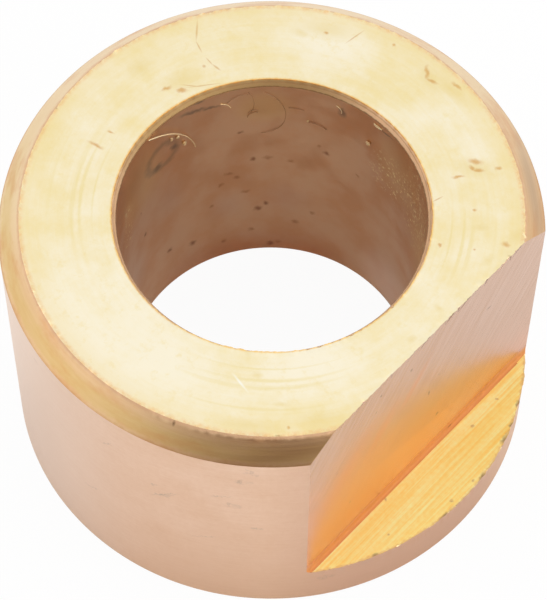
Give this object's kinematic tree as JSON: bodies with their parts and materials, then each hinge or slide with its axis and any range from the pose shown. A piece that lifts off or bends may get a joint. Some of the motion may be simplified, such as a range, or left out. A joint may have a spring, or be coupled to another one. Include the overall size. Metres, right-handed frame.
{
  "type": "bushing",
  "caption": "Thick-walled bronze sleeve bushing with a plain bore, a chamfered end and a lock flat milled down one side to a ledge.",
  "frame": {"origin": "middle of the bottom face, on the axis of the bore", "axes": "+Z along the bore, from the full-round end to the chamfered end; +X out of the milled lock flat"},
  "size_m": [0.044, 0.044, 0.0265],
  "materials": {
    "bronze": "turned and milled bearing bronze, bright and pale on the faced end, duller on the outside and in the bore"
  },
  "bodies": {
    "root": {"bushing": "bronze"}
  },
  "joints": []
}
